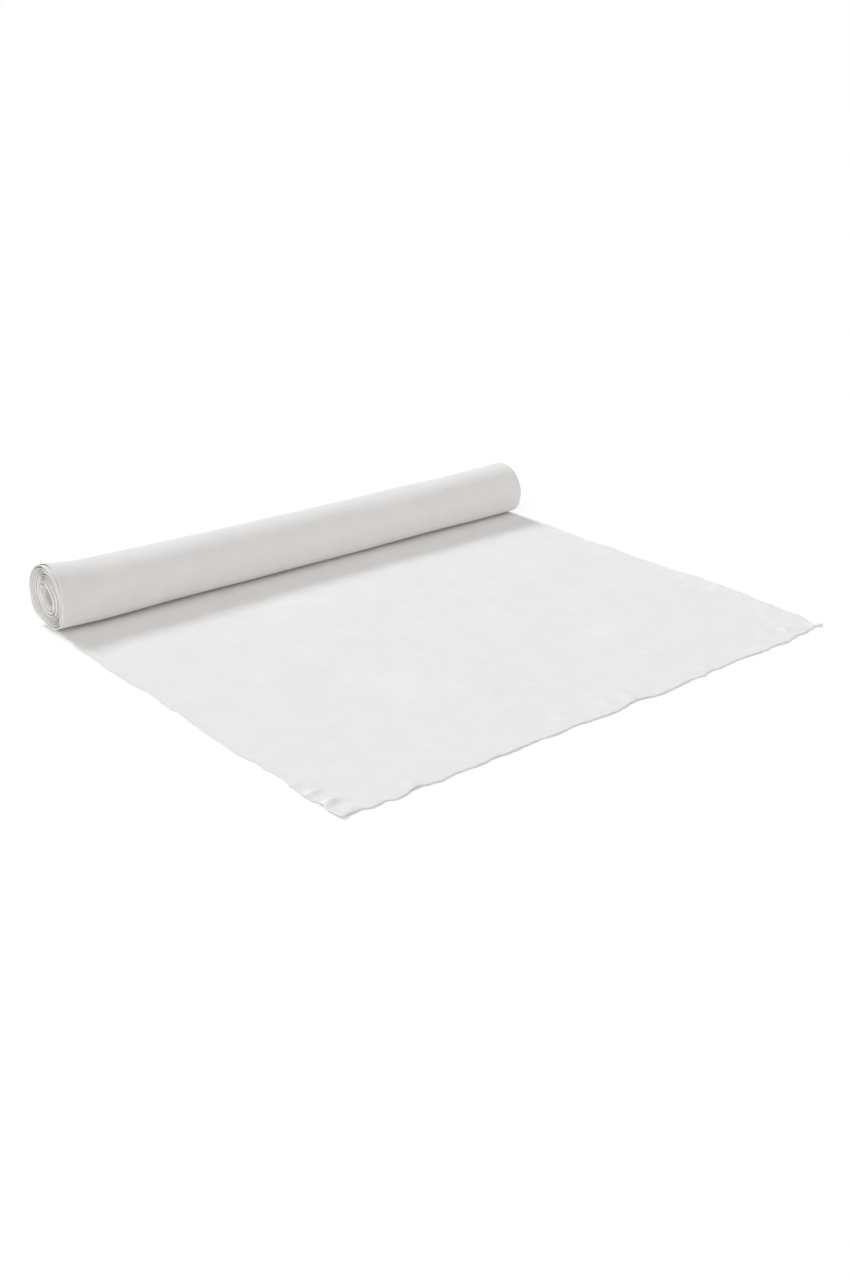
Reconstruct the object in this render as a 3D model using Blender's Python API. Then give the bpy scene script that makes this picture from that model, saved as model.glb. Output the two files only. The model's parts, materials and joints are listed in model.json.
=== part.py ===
"""A linen table runner, partly rolled up, with an overlocked thread edge all round.

The runner is one long cloth in three stretches. The laid length lies flat, from under
the roll to the free end. The outer turn is one round wrap over the roll, and the inner
turns wind on from it as a spiral to the inner end. A run of overlocking thread closes
each raw edge of each stretch, and one thread tail is left at a corner of the free end.
The roll travels over the laid length, and its inner turns go round as it travels.

+X runs along the laid length to the free end, +Y across the runner, and +Z up.
The origin is the middle of the bottom of the whole object's box.
"""

import math

import bmesh
import bpy
import numpy as np

# Driving dimensions, in metres
RUNNER_WIDTH = 0.450  # across, thread edges included
RUNNER_LENGTH = 1.500  # unrolled, thread edges included
LAID_LENGTH = 0.342  # from below the roll's axis to the free end
CLOTH_THICKNESS = 0.0005
EDGE_WIDTH = 0.0018  # run of overlocking thread along a raw edge
EDGE_THICKNESS = 0.0008
EYE_DIAMETER = 0.0090  # open middle of the roll
CONTACT_TUCK = 0.005  # the laid length's run behind the roll's axis
TAIL_LENGTH = 0.0080  # thread tail at a corner of the free end
TAIL_DIAMETER = 0.0008
TAIL_ANGLE = math.radians(48)  # from +X towards +Y

# Clearances
TOUCH_GAP = 0.0003  # between pieces that touch
TURN_SLACK = 0.00044  # between the thread edges of neighbouring turns
SEAM_OPENING = 0.0010  # between the two ends of the outer turn, under the roll

# Fineness of the round pieces, in straight steps for one full turn
OUTER_STEPS = 48
INNER_STEPS = 24
SMOOTH_ANGLE = math.radians(40)

# The roll, worked out from the cloth that is left for it. A spiral's length is its
# area seen from the end, divided by the pitch from turn to turn.
FULL_TURN = 2 * math.pi
TURN_PITCH = EDGE_THICKNESS + TURN_SLACK
INNER_RADIUS = (EYE_DIAMETER + EDGE_THICKNESS) / 2
ROLLED_LENGTH = RUNNER_LENGTH - LAID_LENGTH
OUTER_RADIUS = math.sqrt(ROLLED_LENGTH * TURN_PITCH / math.pi + INNER_RADIUS**2 - TURN_PITCH**2)
ROLL_RADIUS = OUTER_RADIUS + EDGE_THICKNESS / 2
SPIRAL_END = FULL_TURN * (OUTER_RADIUS - INNER_RADIUS) / TURN_PITCH

# Places. The roll's thread edges sit on those of the laid length.
TAIL_END = TOUCH_GAP + TAIL_LENGTH
TAIL_REACH_X = TAIL_END * math.cos(TAIL_ANGLE) + TAIL_DIAMETER / 2 * math.sin(TAIL_ANGLE)
TAIL_REACH_Y = TAIL_END * math.sin(TAIL_ANGLE) + TAIL_DIAMETER / 2 * math.cos(TAIL_ANGLE)
AXIS_X = (ROLL_RADIUS - LAID_LENGTH - TAIL_REACH_X) / 2
AXIS_Z = EDGE_THICKNESS + TOUCH_GAP + ROLL_RADIUS
MIDDLE_Y = -TAIL_REACH_Y / 2
EDGE_MIDDLE = (RUNNER_WIDTH - EDGE_WIDTH) / 2
CLOTH_WIDTH = RUNNER_WIDTH - 2 * (EDGE_WIDTH + TOUCH_GAP)

# Colours, linear
LINEN_WHITE = (0.83, 0.83, 0.81)
THREAD_WHITE = (0.86, 0.86, 0.84)


def clear_scene():
    for old in list(bpy.data.objects):
        bpy.data.objects.remove(old)


def make_material(name, colour, roughness):
    material = bpy.data.materials.new(name)
    material.use_nodes = True
    shader = material.node_tree.nodes["Principled BSDF"]
    shader.inputs["Base Color"].default_value = (*colour, 1)
    shader.inputs["Roughness"].default_value = roughness
    shader.inputs["Metallic"].default_value = 0
    return material


def add_guide(name, place, parent=None):
    """An empty that the pieces of one moving stretch hang on."""
    guide = bpy.data.objects.new(name, None)
    guide.location = place
    guide.parent = parent
    bpy.context.collection.objects.link(guide)
    return guide


def add_piece(name, data, material, parent, place=(0, 0, 0)):
    if not data.materials:
        data.materials.append(material)
    piece = bpy.data.objects.new(name, data)
    piece.location = place
    piece.parent = parent
    bpy.context.collection.objects.link(piece)
    return piece


def band_mesh(name, sides, width):
    """A closed strip of cloth or thread, centred on y = 0. Its two sides are rows of (x, z) points."""
    strip = bmesh.new()
    rows = [[strip.verts.new((x, -width / 2, z)) for x, z in side] for side in sides]
    for step in range(len(rows[0]) - 1):
        corners = (rows[0][step], rows[0][step + 1], rows[1][step + 1], rows[1][step])
        strip.faces.new(corners)
    grown = bmesh.ops.extrude_face_region(strip, geom=strip.faces[:])["geom"]
    far_corners = [item for item in grown if isinstance(item, bmesh.types.BMVert)]
    bmesh.ops.translate(strip, vec=(0, width, 0), verts=far_corners)
    bmesh.ops.recalc_face_normals(strip, faces=strip.faces[:])
    mesh = bpy.data.meshes.new(name)
    strip.to_mesh(mesh)
    strip.free()
    mesh.shade_smooth()
    mesh.set_sharp_from_angle(angle=SMOOTH_ANGLE)
    return mesh


def flat_sides(start, end, thickness):
    """The upper and lower side of a strip that lies on the table from x = start to x = end."""
    return [(start, thickness), (end, thickness)], [(start, 0), (end, 0)]


def wound_sides(angles, radii, thickness):
    """The outer and inner side of a strip wound about the roll's axis.

    The angle starts straight below the axis and goes round by the back of the roll,
    so x is minus the sine and z minus the cosine, times the radius.
    """
    ways = np.stack([-np.sin(angles), -np.cos(angles)], axis=1)
    return [ways * (radii + half)[:, None] for half in (thickness / 2, -thickness / 2)]


def outer_turn_sides(thickness):
    """One wrap at a constant radius, open by the seam under the roll."""
    opening = SEAM_OPENING / OUTER_RADIUS / 2
    angles = np.linspace(opening, FULL_TURN - opening, OUTER_STEPS + 1)
    return wound_sides(angles, np.full_like(angles, OUTER_RADIUS), thickness)


def spiral_sides(start, end, thickness):
    """Part of the spiral, which draws in by one pitch in each turn. The angles are counted from the outer turn's start."""
    steps = max(1, round((end - start) / FULL_TURN * INNER_STEPS))
    angles = np.linspace(start, end, steps + 1)
    return wound_sides(angles, OUTER_RADIUS - TURN_PITCH * angles / FULL_TURN, thickness)


def add_stretch(prefix, cloth_sides, edge_sides, cloth, thread, parent):
    """One stretch of cloth with its two long thread edges, which share a mesh."""
    add_piece(prefix + "_cloth", band_mesh(prefix + "_cloth", cloth_sides, CLOTH_WIDTH), cloth, parent)
    edge = band_mesh(prefix + "_edge", edge_sides, EDGE_WIDTH)
    for side, way in (("near", -1), ("far", 1)):
        add_piece(f"{prefix}_edge_{side}", edge, thread, parent, (0, way * EDGE_MIDDLE, 0))


def add_laid_length(cloth, thread):
    table_guide = add_guide("laid_length_guide", (AXIS_X, MIDDLE_Y, 0))
    cloth_end = LAID_LENGTH - EDGE_WIDTH - TOUCH_GAP
    cloth_sides = flat_sides(-CONTACT_TUCK, cloth_end, CLOTH_THICKNESS)
    edge_sides = flat_sides(-CONTACT_TUCK, LAID_LENGTH, EDGE_THICKNESS)
    add_stretch("laid", cloth_sides, edge_sides, cloth, thread, table_guide)
    free_end = flat_sides(LAID_LENGTH - EDGE_WIDTH, LAID_LENGTH, EDGE_THICKNESS)
    add_piece("free_end_edge", band_mesh("free_end_edge", free_end, CLOTH_WIDTH), thread, table_guide)
    add_thread_tail(thread, table_guide)


def add_thread_tail(thread, parent):
    """The thread chain left where the overlocking ends, lying out from the far corner of the free end."""
    chain = bpy.data.curves.new("corner_thread_tail", "CURVE")
    chain.dimensions = "3D"
    chain.bevel_depth = TAIL_DIAMETER / 2
    chain.bevel_resolution = 2
    chain.use_fill_caps = True
    run = chain.splines.new("POLY")
    run.points.add(1)
    for point, reach in zip(run.points, (TOUCH_GAP, TAIL_END)):
        point.co = (reach * math.cos(TAIL_ANGLE), reach * math.sin(TAIL_ANGLE), 0, 1)
    corner = (LAID_LENGTH, RUNNER_WIDTH / 2, TAIL_DIAMETER / 2)
    add_piece("corner_thread_tail", chain, thread, parent, corner)


def add_roll(cloth, thread):
    """The outer turn travels along X. The inner turns travel with it and go round the roll's axis."""
    travel_guide = add_guide("roll_travel_guide", (AXIS_X, MIDDLE_Y, AXIS_Z))
    outer_cloth = outer_turn_sides(CLOTH_THICKNESS)
    outer_edge = outer_turn_sides(EDGE_THICKNESS)
    add_stretch("outer_turn", outer_cloth, outer_edge, cloth, thread, travel_guide)

    turning_guide = add_guide("inner_turns_guide", (0, 0, 0), travel_guide)
    end_edge_start = SPIRAL_END - EDGE_WIDTH / INNER_RADIUS
    cloth_end = end_edge_start - TOUCH_GAP / INNER_RADIUS
    inner_cloth = spiral_sides(FULL_TURN, cloth_end, CLOTH_THICKNESS)
    inner_edge = spiral_sides(FULL_TURN, SPIRAL_END, EDGE_THICKNESS)
    add_stretch("inner_turns", inner_cloth, inner_edge, cloth, thread, turning_guide)
    inner_end = spiral_sides(end_edge_start, SPIRAL_END, EDGE_THICKNESS)
    add_piece("inner_end_edge", band_mesh("inner_end_edge", inner_end, CLOTH_WIDTH), thread, turning_guide)


def main():
    clear_scene()
    cloth = make_material("washed_linen_cloth", LINEN_WHITE, 0.9)
    thread = make_material("overlocking_thread", THREAD_WHITE, 0.8)
    add_laid_length(cloth, thread)
    add_roll(cloth, thread)


main()
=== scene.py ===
"""Looks of a washed linen table runner with overlocked edges, partly rolled up.

The cloth is one surface in two parameters. `along` is the distance from the free end,
measured in the cloth, and `across` is the distance from the near long edge. Where the
cloth lies on the table the surface is a plane with a lift added to it, and where it is
rolled it is a spiral. There `turn`, the number of turns from where the cloth leaves the
table, takes the place of `along`. Every cloth piece and every run of overlocking thread
is read from that surface, so neighbours meet. All sizes are in metres.
"""

import json
import math

import bpy
import numpy as np
from mathutils import Matrix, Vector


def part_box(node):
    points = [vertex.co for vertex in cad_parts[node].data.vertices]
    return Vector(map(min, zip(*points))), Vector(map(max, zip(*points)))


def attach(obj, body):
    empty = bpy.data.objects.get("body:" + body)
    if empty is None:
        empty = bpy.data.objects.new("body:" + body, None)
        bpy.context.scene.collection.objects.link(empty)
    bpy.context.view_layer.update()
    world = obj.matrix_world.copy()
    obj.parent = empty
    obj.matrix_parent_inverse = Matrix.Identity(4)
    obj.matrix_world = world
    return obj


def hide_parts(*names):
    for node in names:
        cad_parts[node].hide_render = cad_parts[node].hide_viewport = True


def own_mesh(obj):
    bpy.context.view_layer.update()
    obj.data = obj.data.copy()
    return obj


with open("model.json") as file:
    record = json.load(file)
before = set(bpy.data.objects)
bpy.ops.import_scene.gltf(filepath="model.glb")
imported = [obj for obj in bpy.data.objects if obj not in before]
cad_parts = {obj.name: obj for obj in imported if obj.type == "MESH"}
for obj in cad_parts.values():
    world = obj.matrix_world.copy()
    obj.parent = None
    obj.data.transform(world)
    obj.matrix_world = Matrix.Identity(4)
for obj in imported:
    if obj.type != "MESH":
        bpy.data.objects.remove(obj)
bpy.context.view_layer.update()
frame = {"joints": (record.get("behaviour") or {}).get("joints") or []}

MM = 0.001
FULL_TURN = 2 * math.pi

# Places and sizes from the frame
JOINTS = {joint["name"]: joint for joint in frame["joints"]}
TRAVEL = JOINTS["roll_travel"]["range_m"][1]
AXIS_X = JOINTS["roll_turn"]["pos_m"][0]
FREE_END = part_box("free_end_edge")[1].x
NEAR_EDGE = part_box("laid_edge_near")[0].y
FAR_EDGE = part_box("laid_edge_far")[1].y
EDGE_WIDTH = FREE_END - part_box("free_end_edge")[0].x
EDGE_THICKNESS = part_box("free_end_edge")[1].z
CLOTH_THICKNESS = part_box("laid_cloth")[1].z
EYE_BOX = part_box("inner_end_edge")
WIDTH = FAR_EDGE - NEAR_EDGE
LAID_LENGTH = FREE_END - AXIS_X
FRONT_LENGTH = LAID_LENGTH - TRAVEL  # stays flat in front of the roll at the end of its travel

# The roll
RUNNER_LENGTH = 1.500
ROLLED_LENGTH = RUNNER_LENGTH - LAID_LENGTH
WAIST_RADIUS = 21.7 * MM  # middle of the outer turn's cloth, halfway along the roll
NEAR_SWELL = 1.9 * MM  # the roll is thicker towards its ends
FAR_SWELL = 0.5 * MM
NEAR_FLARE = 1.2 * MM  # the near end opens out like a bell
NEAR_FLARE_REACH = 14 * MM
EYE_RADIUS = math.hypot(
    (EYE_BOX[0].x + EYE_BOX[1].x) / 2 - AXIS_X,
    (EYE_BOX[0].z + EYE_BOX[1].z) / 2 - JOINTS["roll_turn"]["pos_m"][2],
)
TURN_PITCH = math.pi * (WAIST_RADIUS**2 - EYE_RADIUS**2) / ROLLED_LENGTH
TURNS = (WAIST_RADIUS - EYE_RADIUS) / TURN_PITCH
SQUARENESS = 0.5  # at the bottom the circle's exponent of 2 grows by this, or half of it at the back
SLIT = 0.36  # the eye is longer one way by this share of its radius
SLIT_ANGLE = math.radians(128)  # of the eye's longer way, from straight down by the back
LAST_SHEET_TURN = TURNS - 0.02  # the sheet stops just short of the inner end's thread

# Overlocking
STITCH = 1.15 * MM
STEPS_PER_STITCH = 6
ROLLED_STEPS_PER_STITCH = 5
BEAD_THICKNESS = 0.75 * EDGE_THICKNESS  # the thread is pulled flat on the edge
BEAD_REST = (BEAD_THICKNESS - CLOTH_THICKNESS) / 2  # the thread lifts the cloth by this
BEAD_REST_REACH = 3 * MM
BEAD_NECK = 0.80  # the thread's size between two loops, as a share of its full size
BEAD_SWELL = 0.26  # a loop adds this
BEAD_SLANT = 0.55  # in radians of the stitch, from the side of the oval to its top
RING_POINTS = 10
TAIL_WIDTH = 2.4 * MM
TAIL_THICKNESS = 2.2 * MM
TAIL_STEPS = 60

# How finely the pieces are divided
LAID_ROWS = 139
FRONT_ROWS = 61
OUTER_TURN_ROWS = 161
INNER_ROWS_PER_TURN = 64
OUTER_TURN_THREAD_STEPS = 644
CLOTH_SHARP_ANGLE = math.radians(50)  # sharper edges than this aren't shaded round
THREAD_SHARP_ANGLE = math.radians(70)

# Camera
CAMERA_PLACE = (0.728824, -0.654618, 0.409900)
CAMERA_HEADING = math.radians(138.61)  # of the line of sight, from +X towards +Y
CAMERA_PITCH = math.radians(23.38)  # below the horizon
CAMERA_TILT = math.radians(1.27)
CAMERA_LENS = 40.66  # in millimetres, on a 36 mm sensor

# Light
SURROUND = 0.505  # strength of the even light from all round
SURROUND_COLOUR = (1.0, 0.99, 0.98, 1.0)
FLOOR_GLOW = 0.20  # what the paper adds to its own white towards the camera
FLOOR_HALF = 6.0
FLOOR_DROP = 0.1 * MM
LAMPS = (  # name, energy, angle of its disc, elevation, heading of its light from +X, colour
    ("soft_key", 1.42, 18, 46, 4, (0.94, 0.955, 1.0)),
    ("front_fill", 0.41, 60, 18, 138, (1.0, 0.91, 0.77)),
    ("top_fill", 0.20, 60, 75, 180, (1.0, 0.96, 0.90)),
    ("end_fill", 1.00, 20, 5, 90, (1.0, 0.94, 0.83)),
)


# Small helpers on whole arrays


def unit(vectors):
    """Each vector divided by its own length."""
    return vectors / np.linalg.norm(vectors, axis=-1, keepdims=True)


def smooth_step(value):
    """0 below 0, 1 above 1, and 3t^2 - 2t^3 between them."""
    share = np.clip(value, 0, 1)
    return share * share * (3 - 2 * share)


def fade(distance, reach):
    """1 at an edge, falling away from it as exp(-(distance / reach)^1.5)."""
    return np.exp(-((np.abs(distance) / reach) ** 1.5))


def hump(offset, spread):
    """A bell curve: exp(-(offset / spread)^2)."""
    return np.exp(-((offset / spread) ** 2))


def ruffle(place, wavelength, seed):
    """Crests along an edge, from 0 to 1, whose spacing and height wander.

    A sine of the place has two slower sines added to its phase, of 4.3 and 2.6
    wavelengths. It is raised to the power 1.5 to narrow the crests, and multiplied by a
    swell of 6.7 wavelengths.
    """
    turn = FULL_TURN * place / wavelength
    phase = turn + 1.3 * np.sin(turn / 4.3 + seed) + 0.8 * np.sin(turn / 2.6 + 2 * seed)
    swell = 0.62 + 0.38 * np.sin(turn / 6.7 + 3 * seed)
    return swell * (0.5 + 0.5 * np.sin(phase)) ** 1.5


def crumple(first, second, longest, shortest, seed, waves=22):
    """An uneven surface of about -1 to 1: plane waves with seeded directions and phases, added.

    Their wavelengths run from the longest to the shortest, and a wave's height goes with
    its length, so that short waves are shallow.
    """
    random = np.random.default_rng(seed)
    lengths = np.geomspace(longest, shortest, waves)
    headings = random.uniform(0, math.pi, waves)
    phases = random.uniform(0, FULL_TURN, waves)
    run = first[..., None] * np.cos(headings) + second[..., None] * np.sin(headings)
    total = (np.sin(FULL_TURN * run / lengths + phases) * lengths).sum(axis=-1)
    return total / math.sqrt((lengths**2).sum())


def lines(start, end, fine_run, fine_step, step):
    """Places from start to end, closer together within fine_run of both ends."""
    fine = np.arange(0, fine_run, fine_step)
    count = max(2, round((end - start - 2 * fine_run) / step))
    middle = np.linspace(start + fine_run, end - fine_run, count + 1)
    return np.concatenate([start + fine, middle, end - fine[::-1]])


# The cloth's surface


# The tables below are in millimetres, apart from seeds, turns and phases.
# Gentle waves: height, longest wavelength, shortest wavelength, seed
BROAD_WAVES = (0.20, 120.0, 34.0, 5)
EDGE_WAVES = (0.12, 30.0, 11.0, 11)
EDGE_WAVES_REACH = 38 * MM
RIM_FLATNESS = 0.7  # share of the broad waves that is gone at the near edge and the free end
RIM_FLATNESS_REACH = 12 * MM
# Ruffles: edge, height, wavelength, seed, reach inwards
RUFFLES = (
    ("free", 0.30, 20.5, 0.7, 14.0),
    ("free", 0.15, 8.8, 2.1, 6.0),
    ("far", 0.20, 9.5, 1.4, 6.0),
    ("near", 0.12, 12.5, 0.2, 6.0),
)
# Fine ripples of each edge's line: height, wavelength
FREE_END_RIPPLE = (0.22, 8.8)
NEAR_EDGE_RIPPLE = (0.20, 12.5)
FAR_EDGE_RIPPLE = (0.22, 9.5)
RIPPLE_REACH = 8 * MM
LINE_REACH = 30 * MM
# How far the edges stand out of a straight line. Each list has the peaks and dips along one
# edge: the free end by the distance from the near edge, and the long edges by the distance
# from the free end.
FREE_END_LINE = (
    (0, -1.0), (14, -2.0), (23, 0.4), (31, -0.8), (40, 1.8), (55, -1.4), (74, 1.6), (83, 0.2),
    (105, 1.4), (117, 0.0), (126, 1.2), (156, 0.4), (167, 2.0), (187, 0.8), (200, 2.5), (219, 3.7),
    (243, 0.4), (264, 4.4), (302, 2.3), (309, 3.4), (320, 1.2), (326, 2.3), (350, 1.2), (379, 3.3),
    (389, 2.5), (403, 3.8), (422, 0.8), (428, 1.8), (437, 0.4), (450, 0.6),
)
NEAR_EDGE_LINE = (
    (0, -0.4), (12, 0.5), (19, -0.6), (31, 1.4), (45, 0.7), (60, -1.1), (76, 0.1), (82, -0.2),
    (105, 2.4), (115, 1.6), (133, 1.9), (151, 0.8), (157, 1.1), (171, -0.4), (181, 0.8),
    (208, -0.8), (228, 1.3), (262, 1.5), (275, 0.1), (298, 0.5), (318, -1.6), (342, -2.2),
)
FAR_EDGE_LINE = (
    (0, -1.6), (10, -1.4), (18, 0.8), (45, 1.5), (76, 4.4), (94, 3.0), (101, 4.1), (110, 3.0),
    (120, 3.6), (128, 1.6), (138, 2.1), (144, 0.9), (160, 1.4), (187, -0.3), (215, 1.5),
    (234, -1.2), (253, 0.3), (260, -0.7), (284, 0.6), (294, -1.2), (315, -0.8), (342, -0.4),
)
# Broad rises of the far edge: distance from the free end, height, half-length, reach inwards
FAR_RISES = ((92.0, 0.7, 36.0, 16.0), (215.0, 0.5, 14.0, 12.0))
# Puckers of one shape, just inside the far edge: distance from the free end, height
FAR_PUCKERS = (
    (24.0, 0.5), (46.0, 0.6), (69.2, 0.7), (96.6, 0.8), (127.2, 0.9), (151.5, 0.8),
    (176.0, 0.5), (203.0, 0.5), (232.0, 0.4), (262.0, 0.3),
)
PUCKER_RUN = 3.6 * MM
PUCKER_INSET = 5 * MM
PUCKER_REACH = 7 * MM
# Tucks inside the edges: distance from the free end, from the near edge, half-length of the
# bell along and across, height
TUCKS = (
    (4.0, 9.0, 4.0, 6.0, 1.0),
    (18.0, 5.5, 2.8, 6.0, 2.3),
    (33.0, 4.5, 3.0, 5.0, 1.9),
    (47.0, 2.5, 2.8, 3.5, 0.9),
    (7.0, 55.0, 7.0, 3.2, 0.8),
    (6.0, 117.0, 6.0, 3.0, 0.5),
    (13.0, 225.0, 7.0, 4.0, 0.9),
    (9.0, 244.0, 8.0, 4.5, 1.3),
    (16.0, 187.0, 8.0, 4.0, 0.6),
    (7.0, 320.0, 6.0, 3.2, 0.7),
    (22.0, 405.0, 5.0, 4.0, 0.8),
    (12.0, 421.0, 4.5, 4.0, 0.9),
    (35.0, 428.0, 6.0, 4.0, 0.6),
    (27.0, 388.0, 7.0, 4.0, 0.5),
)
# How far the cloth in the roll has drifted towards the far side, by the turn, at the near and
# at the far edge
NEAR_DRIFT = (
    (0, 0), (0.25, -0.6), (0.38, 0.0), (0.5, 3.2), (0.62, 2.1), (0.75, 0.4), (1, 0.6),
    (1.3, -0.6), (1.5, -0.4), (1.8, 0.7), (2.4, -0.3), (3, 0.6), (4, 1.2), (5.5, 2.6),
    (7.2, 1.8), (8.1, 0.2), (8.8, 1.0), (9.7, -0.6), (10.6, 1.2), (11.4, 0.5), (14, 2.4),
)
FAR_DRIFT = (
    (0, 0), (0.25, -1.5), (0.5, -2.8), (0.62, -1.4), (0.78, 1.0), (0.9, 0.8), (1, 0.0),
    (1.5, -2.4), (3, -2.6), (5, -4.0), (7.2, -3.0), (8.1, -1.8), (8.8, -2.4), (9.7, -0.8),
    (10.6, -2.4), (11.4, -1.6), (14, -3.4),
)
# A faint crease: distance from the free end, from the near edge, at its three points
CREASE = ((29.2, 311.5), (53.5, 308.5), (74.5, 299.0))
CREASE_HEIGHT = 0.5 * MM
CREASE_RUN = 26 * MM
CREASE_WIDTH = 2.6 * MM
# How the corners differ from square ones
CORNER_LIFT = 0.5 * MM  # of the near corner of the free end
CORNER_LIFT_REACH = 16 * MM
FAR_CORNER_DRAW = (-2.6 * MM, -3.4 * MM)
FAR_CORNER_REACH = 7 * MM
# The near edge is pulled in under the roll
NEAR_PULL = 3.4 * MM
NEAR_PULL_REACH = 70 * MM
NEAR_PULL_RUN = 45 * MM
NEAR_PULL_TURN = 0.16  # by this turn the roll has let go of it
# The laid cloth comes down to the table under the roll, and where the roll stops
UNDER_ROLL_RUN = 30 * MM
STOP_FLATNESS = 0.6
STOP_RUN = 9 * MM
# Slow waves round the roll: height, waves in a turn, waves along the roll, phase
ROLL_WAVES = ((0.20, 2.04, 5, 0.4), (0.16, 3.05, -7, 2.0), (0.10, 5.03, 11, 0.0))
# Rises and hollows in the roll, outwards from its centre: height, turn, spread in turns
TABLE_RISE = (0.45, 1.0, 0.13)
NEAR_END_RISES = ((-1.7, 0.97, 0.15), (0.7, 1.45, 0.20))
NEAR_END_REACH = 28 * MM


def between(place, peaks):
    """A value that goes from each listed peak or dip to the next along a smooth step."""
    places, values = np.array(peaks, float).T
    after = np.clip(np.searchsorted(places, place), 1, len(places) - 1)
    share = (place - places[after - 1]) / (places[after] - places[after - 1])
    return values[after - 1] + (values[after] - values[after - 1]) * smooth_step(share)


def lift(along, across):
    """Height of the laid cloth over the table.

    It is a sum of gentle waves all over, ruffles that fade inwards from the edges,
    single tucks and puckers, a faint crease and the lifted corner. It comes to nothing
    under the roll, and the waves flatten where the roll stops at the end of its travel.
    """
    near, far = across, WIDTH - across
    by_edge = {"free": (across, along), "near": (along, near), "far": (along, far)}
    rim = np.minimum(np.minimum(near, far), along)
    top, longest, shortest, seed = BROAD_WAVES
    waves = 1 + crumple(along, across, longest * MM, shortest * MM, seed)
    height = top * waves * (1 - RIM_FLATNESS * fade(np.minimum(near, along), RIM_FLATNESS_REACH))
    top, longest, shortest, seed = EDGE_WAVES
    waves = 1 + crumple(along, across, longest * MM, shortest * MM, seed)
    height = height + top * fade(rim, EDGE_WAVES_REACH) * waves

    for edge, top, wavelength, seed, reach in RUFFLES:
        place, inwards = by_edge[edge]
        height = height + top * ruffle(place, wavelength * MM, seed) * fade(inwards, reach * MM)
    for place, top, run, reach in FAR_RISES:
        height = height + top * hump(along - place * MM, run * MM) * fade(far, reach * MM)
    for place, top in FAR_PUCKERS:
        bell = hump(along - place * MM, PUCKER_RUN) * hump(far - PUCKER_INSET, PUCKER_REACH)
        height = height + top * bell
    for tuck_along, tuck_across, run_along, run_across, top in TUCKS:
        bell = hump(along - tuck_along * MM, run_along * MM)
        height = height + top * bell * hump(across - tuck_across * MM, run_across * MM)
    height = height * MM

    crease_along, crease_across = np.array(CREASE).T * MM
    aside = across - np.interp(along, crease_along, crease_across)
    crease_run = hump(along - crease_along.mean(), CREASE_RUN)
    height = height + CREASE_HEIGHT * crease_run * hump(aside, CREASE_WIDTH)
    corner = np.hypot(along, near) / CORNER_LIFT_REACH
    height = height + CORNER_LIFT * (1 - smooth_step(corner)) ** 1.3

    height = height * smooth_step((LAID_LENGTH - along) / UNDER_ROLL_RUN)
    height = height * (1 - STOP_FLATNESS * hump(along - FRONT_LENGTH, STOP_RUN))
    return height + BEAD_REST * fade(rim, BEAD_REST_REACH)


def near_pull(across):
    """How far the near edge is pulled in where the cloth runs under the roll."""
    return NEAR_PULL * fade(across, NEAR_PULL_REACH)


def edge_out(place, inwards, line, ripple):
    """How far an edge stands out: its own line and a sine ripple, both fading inwards."""
    height, wavelength = ripple
    fine = height * MM * np.sin(FULL_TURN * place / (wavelength * MM)) * fade(inwards, RIPPLE_REACH)
    return MM * between(place / MM, line) * fade(inwards, LINE_REACH) + fine


def laid_surface(along, across):
    """Middle of the cloth's thickness where it lies on the table.

    x is the free end minus `along`, and y is the near edge plus `across`. Each edge
    stands out by its own line and ripple, and the far corner of the free end is rounded.
    Near the roll the near edge is pulled in instead. z is half the cloth's thickness plus
    the lift.
    """
    near, far = across, WIDTH - across
    end_out = edge_out(across, along, FREE_END_LINE, FREE_END_RIPPLE)
    near_out = edge_out(along, near, NEAR_EDGE_LINE, NEAR_EDGE_RIPPLE)
    far_out = edge_out(along, far, FAR_EDGE_LINE, FAR_EDGE_RIPPLE)
    under_roll = smooth_step((along - LAID_LENGTH + NEAR_PULL_RUN) / NEAR_PULL_RUN)
    aside = (far_out - near_out) * (1 - under_roll) + near_pull(across) * under_roll
    far_corner = fade(np.hypot(along, far), FAR_CORNER_REACH)
    x = FREE_END - along + end_out + FAR_CORNER_DRAW[0] * far_corner
    y = NEAR_EDGE + across + aside + FAR_CORNER_DRAW[1] * far_corner
    z = CLOTH_THICKNESS / 2 + lift(along, across)
    return np.stack([x, y, z], axis=-1)


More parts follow.
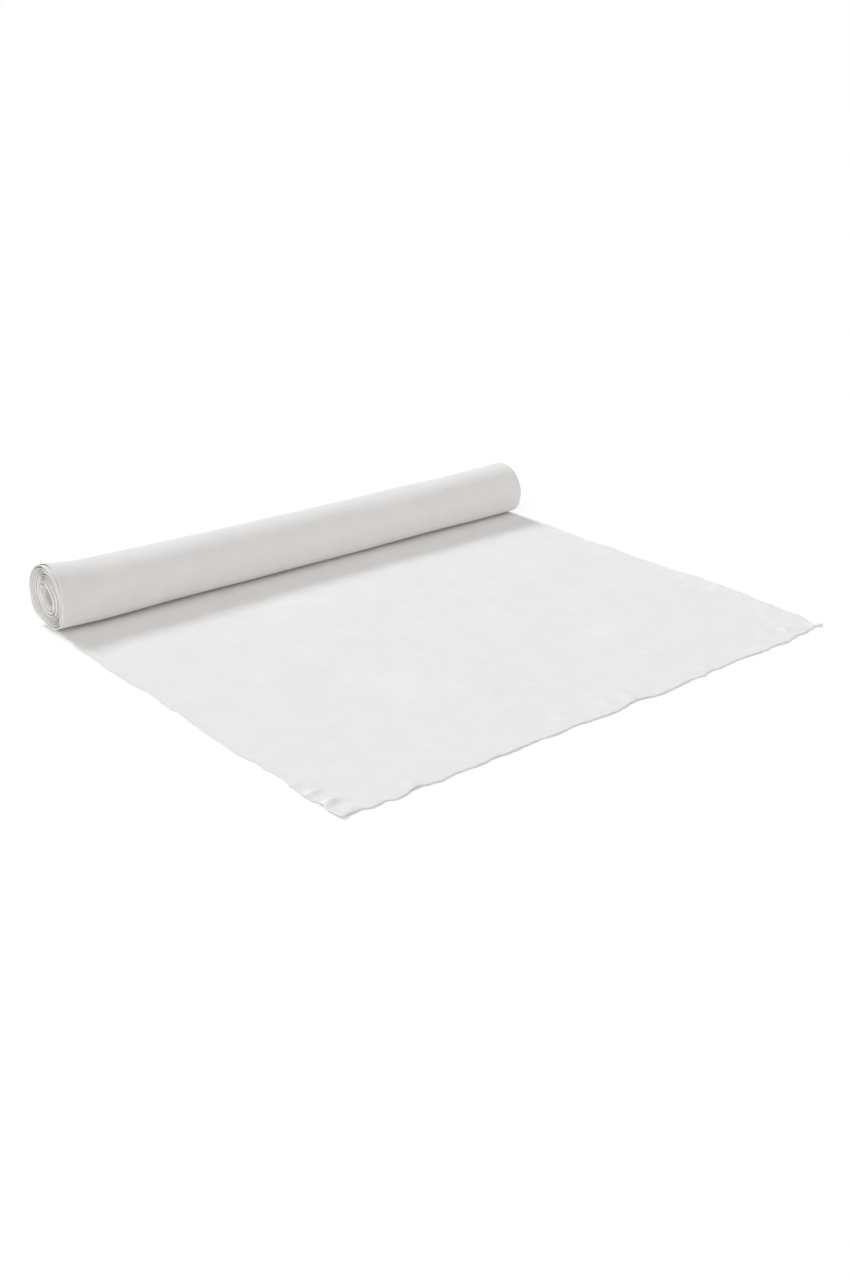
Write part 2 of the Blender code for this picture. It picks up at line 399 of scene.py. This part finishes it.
def rolled_radius(turn, across):
    """Distance of the cloth's middle from the roll's own centre, for a turn counted from 0.

    It draws in by one pitch in each turn. To that are added the swell towards both ends,
    the flare of the last centimetre, slow waves round the roll that drift from turn to
    turn, and rises and hollows: the second turn lies on the table's layer, and at the
    near end it stands off that layer and presses out against the first turn. The bottom
    is a superellipse, squarer in front than at the back, so the roll lies flat there. An
    oval that grows towards the eye closes it to a slit.
    """
    angle = FULL_TURN * turn
    side = 2 * across / WIDTH - 1
    swell = np.where(side < 0, NEAR_SWELL * np.abs(side) ** 1.5, FAR_SWELL * side**2)
    flare = NEAR_FLARE * fade(across, NEAR_FLARE_REACH)
    plain = WAIST_RADIUS - TURN_PITCH * turn
    depth = plain / WAIST_RADIUS
    wave = 0
    for height, waves_round, waves_along, phase in ROLL_WAVES:
        wave = wave + height * MM * np.cos(waves_round * angle + waves_along * side + phase)
    height, place, spread = TABLE_RISE
    rise = height * MM * hump(turn - place, spread)
    for height, place, spread in NEAR_END_RISES:
        rise = rise + height * MM * hump(turn - place, spread) * fade(across, NEAR_END_REACH)
    # 1 in front and a half at the back
    front = 0.5 + 0.5 * smooth_step(0.5 - 3 * np.sin(angle))
    power = 2 + SQUARENESS * smooth_step(np.cos(angle) * 1.6) * front
    square = (np.abs(np.sin(angle)) ** power + np.abs(np.cos(angle)) ** power) ** (-1 / power)
    slit = SLIT * (1 - depth) ** 2 * np.cos(2 * (angle - SLIT_ANGLE))
    body = plain + (swell + flare) * depth**1.5 + wave * depth + rise
    return body * (1 + (square - 1) * depth) * (1 + slit)


def rolled_shift(turn, across):
    """How far the cloth is shifted along the roll's axis.

    It leaves the table with the near edge's pull, and then drifts by an amount that
    changes evenly from the near edge's to the far edge's.
    """
    share = across / WIDTH
    drift = between(turn, NEAR_DRIFT) * (1 - share) + between(turn, FAR_DRIFT) * share
    return near_pull(across) * (1 - smooth_step(turn / NEAR_PULL_TURN)) + MM * drift


def rolled_surface(turn, across):
    """Middle of the cloth's thickness in the roll.

    The angle starts straight below the roll's centre and goes round by the back, so x is
    the centre minus the radius times the sine, and z is the centre minus the radius
    times the cosine. The centre is as high as the first point's radius, so the roll lies
    on the table all along.
    """
    angle = FULL_TURN * turn
    radius = rolled_radius(turn, across)
    centre_z = CLOTH_THICKNESS / 2 + rolled_radius(np.zeros_like(turn), across)
    x = AXIS_X - radius * np.sin(angle)
    y = NEAR_EDGE + across + rolled_shift(turn, across)
    z = centre_z - radius * np.cos(angle)
    return np.stack([x, y, z], axis=-1)


def rolled_along(turn):
    """Distance in the cloth from the free end: the laid length plus the integral of the radius."""
    return LAID_LENGTH + FULL_TURN * turn * (WAIST_RADIUS - TURN_PITCH * turn / 2)


# Meshes


def finish_mesh(name, points, faces, uv_name, uv, material, sharp_angle):
    """Puts points, faces and a UV map, given point by point, into a new object at the origin."""
    mesh = bpy.data.meshes.new(name)
    mesh.from_pydata(points.reshape(-1, 3).tolist(), [], faces)
    corner_points = np.empty(len(mesh.loops), np.int32)
    mesh.loops.foreach_get("vertex_index", corner_points)
    layer = mesh.uv_layers.new(name=uv_name)
    layer.data.foreach_set("uv", uv.reshape(-1, 2)[corner_points].astype(np.float32).ravel())
    mesh.materials.append(material)
    mesh.shade_smooth()
    mesh.set_sharp_from_angle(angle=sharp_angle)
    piece = bpy.data.objects.new(name, mesh)
    bpy.context.scene.collection.objects.link(piece)
    return piece


def cloth_piece(name, surface, rows, columns, distances, material):
    """A closed piece of cloth on a grid of the surface.

    Its two sides are the surface plus and minus half the thickness along the normal,
    which is the cross product of the grid's two directions. Quads fill both sides, and
    a strip of quads round the rim closes them. The UV map is the place in the flat
    cloth, in metres, with the given distance from the free end for each row.
    """
    row_grid, column_grid = np.meshgrid(rows, columns, indexing="ij")
    middle = surface(row_grid, column_grid)
    normal = unit(np.cross(np.gradient(middle, axis=0), np.gradient(middle, axis=1)))
    half = normal * CLOTH_THICKNESS / 2
    points = np.stack([middle + half, middle - half])
    count = row_grid.size
    index = np.arange(count).reshape(row_grid.shape)
    corners = [index[:-1, :-1], index[1:, :-1], index[1:, 1:], index[:-1, 1:]]
    upper = np.stack(corners, axis=-1).reshape(-1, 4)
    lower = upper[:, ::-1] + count
    rim = np.concatenate([index[0, :-1], index[:-1, -1], index[-1, :0:-1], index[:0:-1, 0]])
    ahead = np.roll(rim, -1)
    strip = np.stack([rim, ahead, ahead + count, rim + count], axis=-1)
    faces = np.concatenate([upper, lower, strip]).tolist()
    flat = np.stack([np.broadcast_to(distances[:, None], row_grid.shape), column_grid], axis=-1)
    uv = np.stack([flat, flat])
    return finish_mesh(name, points, faces, "cloth_uv", uv, material, CLOTH_SHARP_ANGLE)


def thread_run(name, path, inside, width, thickness, material):
    """A closed run of thread: an oval ring round each point of the path, and flat ends.

    Each ring is half the width times the cosine along the outward way, which leads away
    from the inside point, and half the thickness times the sine along the upward way.
    The oval swells with the absolute sine of the distance in stitches, and the swelling
    leans round the oval, so that each loop of thread lies over the edge at a slant.
    """
    step = np.linalg.norm(np.diff(path, axis=0), axis=1)
    distance = np.concatenate([[0], np.cumsum(step)])
    ahead = unit(np.gradient(path, axis=0))
    outward = path - inside
    outward = unit(outward - (outward * ahead).sum(axis=1, keepdims=True) * ahead)
    upward = np.cross(ahead, outward)
    round_angle = np.arange(RING_POINTS) * FULL_TURN / RING_POINTS
    loops = np.abs(np.sin(math.pi * distance[:, None] / STITCH + BEAD_SLANT * np.sin(round_angle)))
    size = BEAD_NECK + BEAD_SWELL * loops
    wide = (size * np.cos(round_angle))[..., None] * outward[:, None] * width / 2
    thick = (size * np.sin(round_angle))[..., None] * upward[:, None] * thickness / 2
    points = path[:, None] + wide + thick

    index = np.arange(size.size).reshape(size.shape)
    beside = np.roll(index, -1, axis=1)
    quads = np.stack([index[:-1], beside[:-1], beside[1:], index[1:]], axis=-1)
    caps = [index[0, ::-1].tolist(), index[-1].tolist()]
    faces = quads.reshape(-1, 4).tolist() + caps
    share = np.broadcast_to(np.arange(RING_POINTS) / RING_POINTS, size.shape)
    uv = np.stack([np.broadcast_to(distance[:, None], size.shape), share], axis=-1)
    return finish_mesh(name, points, faces, "thread_uv", uv, material, THREAD_SHARP_ANGLE)


def stitches(start, end):
    """Places from start to end, a fixed number of them for each stitch."""
    count = round(abs(end - start) / STITCH * STEPS_PER_STITCH)
    return np.linspace(start, end, count + 1)


def edge_thread(name, path, inside, material):
    """A run of thread in the size of the overlocking."""
    return thread_run(name, path, inside, EDGE_WIDTH, BEAD_THICKNESS, material)


def long_edge(name, surface, rows, side, material):
    """Overlocking along the near or far long edge of a stretch of cloth.

    Its path is half its width inside the edge, and the inside point is a whole width
    further in.
    """
    half = EDGE_WIDTH / 2
    edge, inner = {"near": (half, 3 * half), "far": (WIDTH - half, WIDTH - 3 * half)}[side]
    path = surface(rows, np.full_like(rows, edge))
    return edge_thread(name, path, surface(rows, np.full_like(rows, inner)), material)


# Materials


def linear(hex_colour):
    """An sRGB hex colour as linear red, green, blue and alpha."""
    parts = np.array([int(hex_colour[i : i + 2], 16) for i in (1, 3, 5)]) / 255
    curve = np.where(parts <= 0.04045, parts / 12.92, ((parts + 0.055) / 1.055) ** 2.4)
    return (*curve.tolist(), 1.0)


def add_node(tree, kind, inputs, **settings):
    """Adds one node with its own settings.

    Each input is a value, a socket to link from, or a node whose first output is linked.
    """
    node = tree.nodes.new(kind)
    for name, value in settings.items():
        setattr(node, name, value)
    for name, value in inputs.items():
        if isinstance(value, bpy.types.Node):
            value = value.outputs[0]
        if isinstance(value, bpy.types.NodeSocket):
            tree.links.new(value, node.inputs[name])
        else:
            node.inputs[name].default_value = value
    return node


def new_material(name):
    """A new node material, with its tree and its shader."""
    material = bpy.data.materials.new(name)
    material.use_nodes = True
    tree = material.node_tree
    return material, tree, tree.nodes["Principled BSDF"]


def streaks(tree, u, v, run_u, run_v):
    """Noise drawn out into streaks, which changes over run_u along the cloth and run_v across."""
    short_u = add_node(tree, "ShaderNodeMath", {0: u, 1: run_u}, operation="DIVIDE")
    short_v = add_node(tree, "ShaderNodeMath", {0: v, 1: run_v}, operation="DIVIDE")
    place = add_node(tree, "ShaderNodeCombineXYZ", {"X": short_u, "Y": short_v})
    return add_node(tree, "ShaderNodeTexNoise", {"Vector": place, "Scale": 1.0, "Detail": 1.0})


def washed_linen():
    """Washed linen in a plain weave, bleached to a soft grey white.

    Flax yarn is uneven, so single threads show as long light and dark slubs, and washing
    leaves a faint mottle. The colour also holds painted shade in the gaps between threads.
    The surface is matt, with a little sheen from loose fibre ends, and a little light goes
    through the thin cloth.
    """
    material, tree, shader = new_material("washed_linen_plain_weave")
    shader.inputs["Roughness"].default_value = 0.92
    shader.inputs["IOR"].default_value = 1.53
    shader.inputs["Specular IOR Level"].default_value = 0.25
    shader.inputs["Sheen Weight"].default_value = 0.06
    shader.inputs["Sheen Roughness"].default_value = 0.5
    shader.inputs["Subsurface Weight"].default_value = 0.25
    shader.inputs["Subsurface Radius"].default_value = (1.0, 0.9, 0.75)
    shader.inputs["Subsurface Scale"].default_value = 1.5 * MM

    uv = add_node(tree, "ShaderNodeUVMap", {}, uv_map="cloth_uv")
    parts = add_node(tree, "ShaderNodeSeparateXYZ", {"Vector": uv})
    # The threads wander by up to about a millimetre, over a run of 14 mm.
    drift = 1.3 * MM
    wander = add_node(tree, "ShaderNodeTexNoise", {"Vector": uv, "Scale": 1 / (14 * MM), "Detail": 1.0})
    wander_parts = add_node(tree, "ShaderNodeSeparateXYZ", {"Vector": wander.outputs["Color"]})
    bent_u = add_node(
        tree,
        "ShaderNodeMath",
        {0: wander_parts.outputs["X"], 1: drift, 2: parts.outputs["X"]},
        operation="MULTIPLY_ADD",
    )
    bent_v = add_node(
        tree,
        "ShaderNodeMath",
        {0: wander_parts.outputs["Y"], 1: drift, 2: parts.outputs["Y"]},
        operation="MULTIPLY_ADD",
    )
    # Real threads lie 0.65 mm apart. They are drawn at 0.95 mm so that they show.
    spacing = 0.95 * MM
    turns = math.pi / spacing
    angle_u = add_node(tree, "ShaderNodeMath", {0: bent_u, 1: turns}, operation="MULTIPLY")
    angle_v = add_node(tree, "ShaderNodeMath", {0: bent_v, 1: turns}, operation="MULTIPLY")
    sine_u = add_node(tree, "ShaderNodeMath", {0: angle_u}, operation="SINE")
    sine_v = add_node(tree, "ShaderNodeMath", {0: angle_v}, operation="SINE")
    # The product of the sines tells at each crossing which thread lies on top.
    crossing = add_node(tree, "ShaderNodeMath", {0: sine_u, 1: sine_v}, operation="MULTIPLY")
    over = add_node(tree, "ShaderNodeMath", {0: crossing, 1: 0.5, 2: 0.5}, operation="MULTIPLY_ADD")
    under = add_node(tree, "ShaderNodeMath", {0: 1.0, 1: over}, operation="SUBTRACT")
    round_u = add_node(tree, "ShaderNodeMath", {0: sine_u}, operation="ABSOLUTE")
    round_v = add_node(tree, "ShaderNodeMath", {0: sine_v}, operation="ABSOLUTE")
    warp = add_node(tree, "ShaderNodeMath", {0: round_v, 1: over}, operation="MULTIPLY")
    weft = add_node(tree, "ShaderNodeMath", {0: round_u, 1: under}, operation="MULTIPLY")
    weave = add_node(tree, "ShaderNodeMath", {0: warp, 1: weft}, operation="MAXIMUM")

    # A slub is about 1.5 mm wide, 26 mm long in the warp and 20 mm in the weft.
    warp_slubs = streaks(tree, bent_u, bent_v, 26 * MM, 1.5 * MM)
    weft_slubs = streaks(tree, bent_u, bent_v, 1.5 * MM, 20 * MM)
    slubs = add_node(tree, "ShaderNodeMath", {0: warp_slubs, 1: weft_slubs}, operation="ADD")
    # The mottle's patches are about 22 mm wide.
    mottle = add_node(tree, "ShaderNodeTexNoise", {"Vector": uv, "Scale": 1 / (22 * MM), "Detail": 3.0})
    # How much slubs, mottle and weave each lighten the cloth, from a darker start. Slubs and mottle are
    # the linen's own uneven tone, and the weave's share is painted shade: darker in the gaps between
    # threads, lighter on their tops.
    shade = -0.30
    for pattern, share in ((slubs, 0.55), (mottle, 0.50), (weave, 0.30)):
        parts_so_far = {0: pattern, 1: share, 2: shade}
        shade = add_node(tree, "ShaderNodeMath", parts_so_far, operation="MULTIPLY_ADD")
    # Sockets 6 and 7 are the mix's two colours, and output 2 is its colour.
    shades = {"Factor": shade, 6: linear("#ececec"), 7: linear("#f9f9f9")}
    colour = add_node(tree, "ShaderNodeMix", shades, data_type="RGBA")
    tree.links.new(colour.outputs[2], shader.inputs["Base Color"])

    # Threads stand up to 0.25 mm proud where they cross.
    height = add_node(tree, "ShaderNodeMath", {0: slubs, 1: 0.45, 2: weave}, operation="MULTIPLY_ADD")
    bump = add_node(tree, "ShaderNodeBump", {"Height": height, "Strength": 0.30, "Distance": 0.25 * MM})
    tree.links.new(bump.outputs["Normal"], shader.inputs["Normal"])
    return material


def overlocking_thread():
    """Spun polyester overlocking thread: a touch whiter than the linen, with a soft low gloss.

    The twist of its plies shows as fine slanting lines, as bumps and as painted shade in the
    grooves between plies, and its loose fibres let light through.
    """
    material, tree, shader = new_material("spun_polyester_overlocking_thread")
    shader.inputs["Roughness"].default_value = 0.75
    shader.inputs["IOR"].default_value = 1.55
    shader.inputs["Sheen Weight"].default_value = 0.05
    shader.inputs["Subsurface Weight"].default_value = 0.6
    shader.inputs["Subsurface Radius"].default_value = (1.0, 0.95, 0.85)
    shader.inputs["Subsurface Scale"].default_value = 1.5 * MM
    uv = add_node(tree, "ShaderNodeUVMap", {}, uv_map="thread_uv")
    parts = add_node(tree, "ShaderNodeSeparateXYZ", {"Vector": uv})
    # Plies are 0.25 mm apart, drawn at 0.38 mm, three to a stitch.
    turns = FULL_TURN * 3 / STITCH
    run = add_node(tree, "ShaderNodeMath", {0: parts.outputs["X"], 1: turns}, operation="MULTIPLY")
    around = {0: parts.outputs["Y"], 1: FULL_TURN, 2: run}
    slant = add_node(tree, "ShaderNodeMath", around, operation="MULTIPLY_ADD")
    twist = add_node(tree, "ShaderNodeMath", {0: slant}, operation="SINE")
    patches = add_node(tree, "ShaderNodeTexNoise", {"Vector": uv, "Scale": 1 / (9 * MM), "Detail": 2.0})
    # The twist darkens the colour along the grooves between plies, as painted shade; the patches are the
    # thread's own uneven tone.
    shade = add_node(tree, "ShaderNodeMath", {0: twist, 1: 0.15, 2: patches}, operation="MULTIPLY_ADD")
    shades = {"Factor": shade, 6: linear("#f0f0f0"), 7: linear("#fcfcfc")}
    colour = add_node(tree, "ShaderNodeMix", shades, data_type="RGBA")
    tree.links.new(colour.outputs[2], shader.inputs["Base Color"])
    bump = add_node(tree, "ShaderNodeBump", {"Height": twist, "Strength": 0.3, "Distance": 0.1 * MM})
    tree.links.new(bump.outputs["Normal"], shader.inputs["Normal"])
    return material


# Pieces


def join(piece, node, body):
    """Puts a piece in the place of a node of the frame, which it hides, and on its body."""
    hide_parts(node)
    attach(piece, body)


def gather(pieces):
    """Gives each of these pieces, which the roll's travel passes over, its own copy of its mesh."""
    for piece in pieces:
        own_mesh(piece)


def add_laid_length(cloth, thread):
    """The cloth in front of the roll, with its thread.

    The roll passes over one sheet, and never reaches the other.
    """
    inset = EDGE_WIDTH / 2
    columns = lines(inset, WIDTH - inset, fine_run=22 * MM, fine_step=1.0 * MM, step=1.9 * MM)
    passed_rows = np.linspace(LAID_LENGTH, FRONT_LENGTH, LAID_ROWS)
    front_rows = np.linspace(FRONT_LENGTH, inset, FRONT_ROWS)
    passed = cloth_piece("laid_sheet", laid_surface, passed_rows, columns, passed_rows, cloth)
    front = cloth_piece("front_sheet", laid_surface, front_rows, columns, front_rows, cloth)
    join(passed, "laid_cloth", "laid_length")
    join(front, "laid_cloth", "laid_length")

    gathered = [passed]
    passed_stitches = stitches(LAID_LENGTH, FRONT_LENGTH)
    front_stitches = stitches(FRONT_LENGTH, inset)
    for side in ("near", "far"):
        passed_run = long_edge(f"laid_thread_{side}", laid_surface, passed_stitches, side, thread)
        front_run = long_edge(f"front_thread_{side}", laid_surface, front_stitches, side, thread)
        join(passed_run, f"laid_edge_{side}", "laid_length")
        join(front_run, f"laid_edge_{side}", "laid_length")
        gathered.append(passed_run)
    gather(gathered)

    places = stitches(inset, WIDTH - inset)
    path = laid_surface(np.full_like(places, inset), places)
    inside = laid_surface(np.full_like(places, EDGE_WIDTH + inset), places)
    end_run = edge_thread("free_end_thread", path, inside, thread)
    join(end_run, "free_end_edge", "laid_length")
    join(add_tail(path[-1], thread), "corner_thread_tail", "laid_length")


def add_tail(start, thread):
    """The chain of thread left where the overlocking ends.

    Its path leaves the rounded corner in a straight line to the place of a square
    corner, and a half sine bows it up and outwards from the free end.
    """
    share = np.linspace(0, 1, TAIL_STEPS)[:, None]
    reach = np.array([FREE_END + 0.3 * MM, FAR_EDGE - 0.3 * MM, 1.2 * MM]) - start
    bow = np.array([0.6, -0.5, 0.3]) * MM
    path = start + share * reach + np.sin(math.pi * share) * bow
    outwards = np.array([1.0, -1.0, 0.0]) * MM
    inside = path - outwards
    return thread_run("thread_tail", path, inside, TAIL_WIDTH, TAIL_THICKNESS, thread)


def add_roll(cloth, thread):
    """The outer turn, which travels, and the inner turns, which also go round."""
    inset = EDGE_WIDTH / 2
    turns = np.linspace(0, 1, OUTER_TURN_ROWS)
    columns = lines(inset, WIDTH - inset, fine_run=18 * MM, fine_step=1.2 * MM, step=3.0 * MM)
    outer = cloth_piece("outer_turn_sheet", rolled_surface, turns, columns, rolled_along(turns), cloth)
    join(outer, "outer_turn_cloth", "outer_turn")

    turns = np.linspace(1, LAST_SHEET_TURN, round((TURNS - 1) * INNER_ROWS_PER_TURN))
    columns = lines(inset, WIDTH - inset, fine_run=16 * MM, fine_step=1.6 * MM, step=26 * MM)
    inner = cloth_piece("inner_turns_sheet", rolled_surface, turns, columns, rolled_along(turns), cloth)
    join(inner, "inner_turns_cloth", "inner_turns")

    outer_places = np.linspace(0, 1, OUTER_TURN_THREAD_STEPS)
    inner_steps = round(ROLLED_STEPS_PER_STITCH * rolled_along(TURNS) / STITCH)
    inner_places = np.linspace(1, TURNS, inner_steps)
    for side in ("near", "far"):
        run = long_edge(f"outer_turn_thread_{side}", rolled_surface, outer_places, side, thread)
        join(run, f"outer_turn_edge_{side}", "outer_turn")
        run = long_edge(f"inner_turns_thread_{side}", rolled_surface, inner_places, side, thread)
        join(run, f"inner_turns_edge_{side}", "inner_turns")

    places = stitches(inset, WIDTH - inset)
    path = rolled_surface(np.full_like(places, TURNS), places)
    a_little_back = TURNS - 0.06
    inside = rolled_surface(np.full_like(places, a_little_back), places)
    end_run = edge_thread("inner_end_thread", path, inside, thread)
    join(end_run, "inner_end_edge", "inner_turns")


# Camera and studio


def add_camera():
    """The camera's own right and up come from its heading and pitch, then turn by its tilt."""
    level = np.array([math.cos(CAMERA_HEADING), math.sin(CAMERA_HEADING), 0])
    ahead = level * math.cos(CAMERA_PITCH) - np.array([0, 0, math.sin(CAMERA_PITCH)])
    right = unit(np.cross(ahead, np.array([0, 0, 1.0])))
    up = np.cross(right, ahead)
    tilted_right = right * math.cos(CAMERA_TILT) + up * math.sin(CAMERA_TILT)
    tilted_up = np.cross(tilted_right, ahead)
    data = bpy.data.cameras.new("camera")
    data.lens = CAMERA_LENS
    camera = bpy.data.objects.new("camera", data)
    axes = np.eye(4)
    axes[:3] = np.stack([tilted_right, tilted_up, -ahead, CAMERA_PLACE], axis=1)
    camera.matrix_world = Matrix(axes.tolist())
    bpy.context.scene.collection.objects.link(camera)
    bpy.context.scene.camera = camera


def add_floor():
    """A wide floor of matt white paper, which looks whiter than the light it gives back."""
    paper, tree, shader = new_material("matt_white_studio_paper")
    shader.inputs["Base Color"].default_value = linear("#f2f2f2")
    shader.inputs["Roughness"].default_value = 1.0
    shader.inputs["Specular IOR Level"].default_value = 0.0
    shader.inputs["Emission Color"].default_value = linear("#ffffff")
    path = add_node(tree, "ShaderNodeLightPath", {})
    glow = {0: path.outputs["Is Camera Ray"], 1: FLOOR_GLOW}
    seen = add_node(tree, "ShaderNodeMath", glow, operation="MULTIPLY")
    tree.links.new(seen.outputs[0], shader.inputs["Emission Strength"])
    half = FLOOR_HALF
    corners = [(-half, -half, 0), (half, -half, 0), (half, half, 0), (-half, half, 0)]
    mesh = bpy.data.meshes.new("studio_floor")
    mesh.from_pydata(corners, [], [(0, 1, 2, 3)])
    mesh.materials.append(paper)
    floor = bpy.data.objects.new("studio_floor", mesh)
    floor.location.z = -FLOOR_DROP
    bpy.context.scene.collection.objects.link(floor)


def add_lights():
    """A soft key from behind the roll, three weak fills and an even surround.

    The fills come from in front, from above and from the side of the roll's near end.
    The camera sees the surround as plain white.
    """
    for name, energy, angle, elevation, heading, colour in LAMPS:
        lamp = bpy.data.lights.new(name, "SUN")
        lamp.energy = energy
        lamp.angle = math.radians(angle)
        lamp.color = colour
        sun = bpy.data.objects.new(name, lamp)
        sun.rotation_euler = (0, math.radians(elevation - 90), math.radians(heading))
        bpy.context.scene.collection.objects.link(sun)

    world = bpy.data.worlds.new("studio_surround")
    world.use_nodes = True
    tree = world.node_tree
    surround = tree.nodes["Background"]
    surround.inputs["Color"].default_value = SURROUND_COLOUR
    surround.inputs["Strength"].default_value = SURROUND
    seen = add_node(tree, "ShaderNodeBackground", {"Color": (1, 1, 1, 1), "Strength": 1.0})
    path = add_node(tree, "ShaderNodeLightPath", {})
    mix = add_node(tree, "ShaderNodeMixShader", {0: path.outputs["Is Camera Ray"], 1: surround, 2: seen})
    tree.links.new(mix.outputs[0], tree.nodes["World Output"].inputs["Surface"])
    bpy.context.scene.world = world
    bpy.context.scene.view_settings.view_transform = "Standard"


def main():
    """Makes the pieces and the studio."""
    cloth = washed_linen()
    thread = overlocking_thread()
    add_laid_length(cloth, thread)
    add_roll(cloth, thread)
    add_camera()
    add_floor()
    add_lights()


main()
